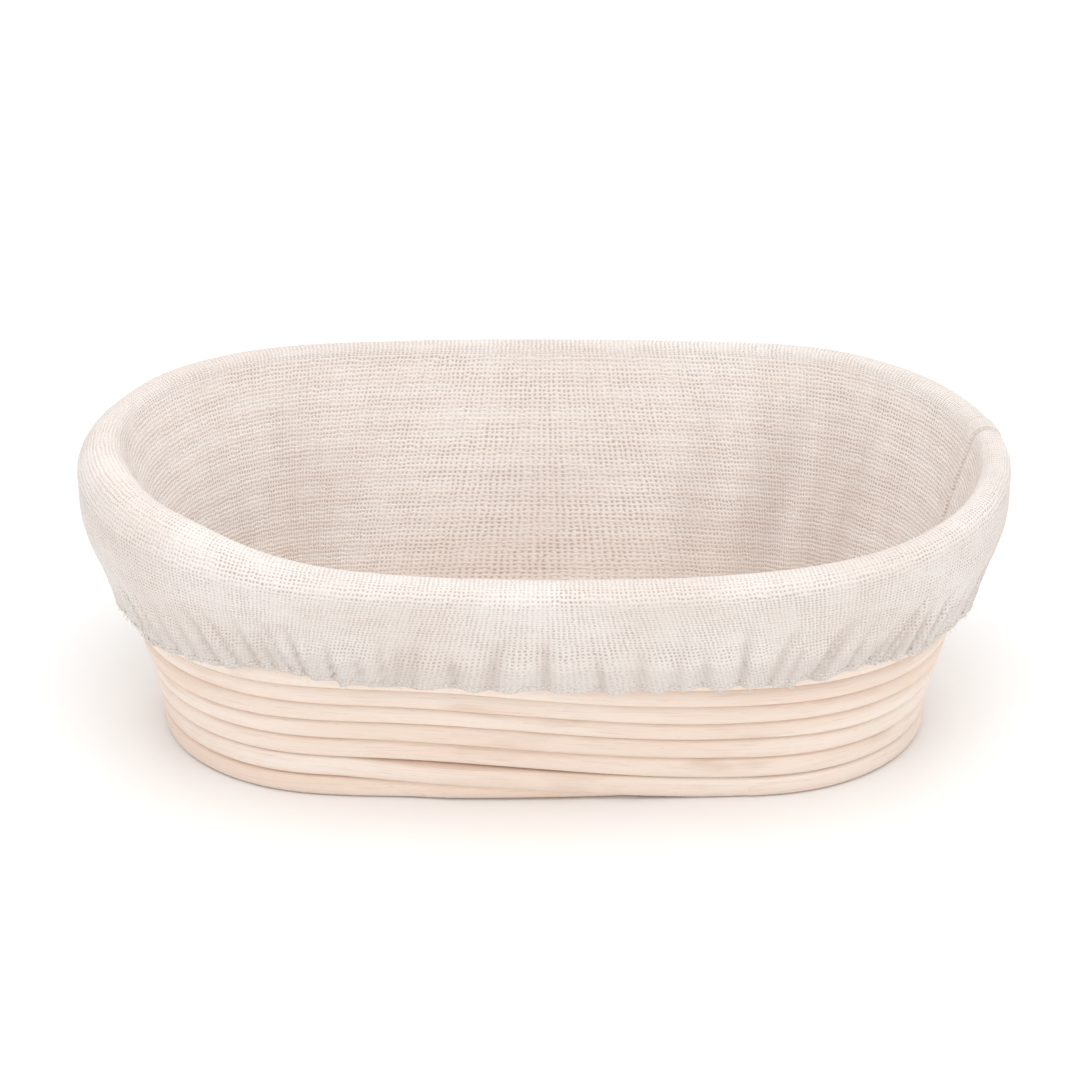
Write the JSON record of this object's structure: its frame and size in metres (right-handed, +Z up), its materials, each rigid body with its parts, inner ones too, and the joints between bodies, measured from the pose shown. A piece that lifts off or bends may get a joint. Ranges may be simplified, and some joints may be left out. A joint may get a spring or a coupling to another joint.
{
  "type": "oval banneton basket with cloth liner",
  "caption": "Oval proofing basket of coiled round cane, flaring from base to rim, with a removable open-weave cloth liner folded over the rim.",
  "frame": {"origin": "centre of the resting face, under the middle of the base", "axes": "+X along the basket's length, +Y across it towards the back, +Z up out of the mouth; the coil changes level on the -Y side"},
  "size_m": [0.25, 0.1504, 0.0801],
  "materials": {
    "base_cane": "peeled round rattan core, unvarnished, pale peach, fine lengthwise fibres",
    "wall_cane": "peeled round rattan core, unvarnished, pale peach, fine lengthwise fibres",
    "staple_wire": "galvanised wire, dull",
    "liner_cloth": "open plain-weave linen and cotton, unbleached, matt",
    "elastic": "braided elastic, white, matt",
    "sewing_thread": "spun thread, off-white, matt"
  },
  "bodies": {
    "basket": {"core_cane": "base_cane", "base_cane": "base_cane", "lower_wall_cane": "wall_cane", "middle_wall_cane": "wall_cane", "upper_wall_cane": "wall_cane", "base_staples": "staple_wire", "wall_staples": "staple_wire"},
    "liner": {"liner_side_cloth": "liner_cloth", "liner_floor_cloth": "liner_cloth", "hem_elastic": "elastic", "hem_thread": "sewing_thread", "side_seam_thread": "sewing_thread", "floor_seam_thread": "sewing_thread"}
  },
  "joints": [
    {"name": "liner_lift", "type": "slide", "parent": "basket", "child": "liner", "axis": [0, 0, 1], "range_m": [0, 0.1], "deforming": ["liner_side_cloth", "hem_elastic", "hem_thread", "side_seam_thread"]}
  ]
}
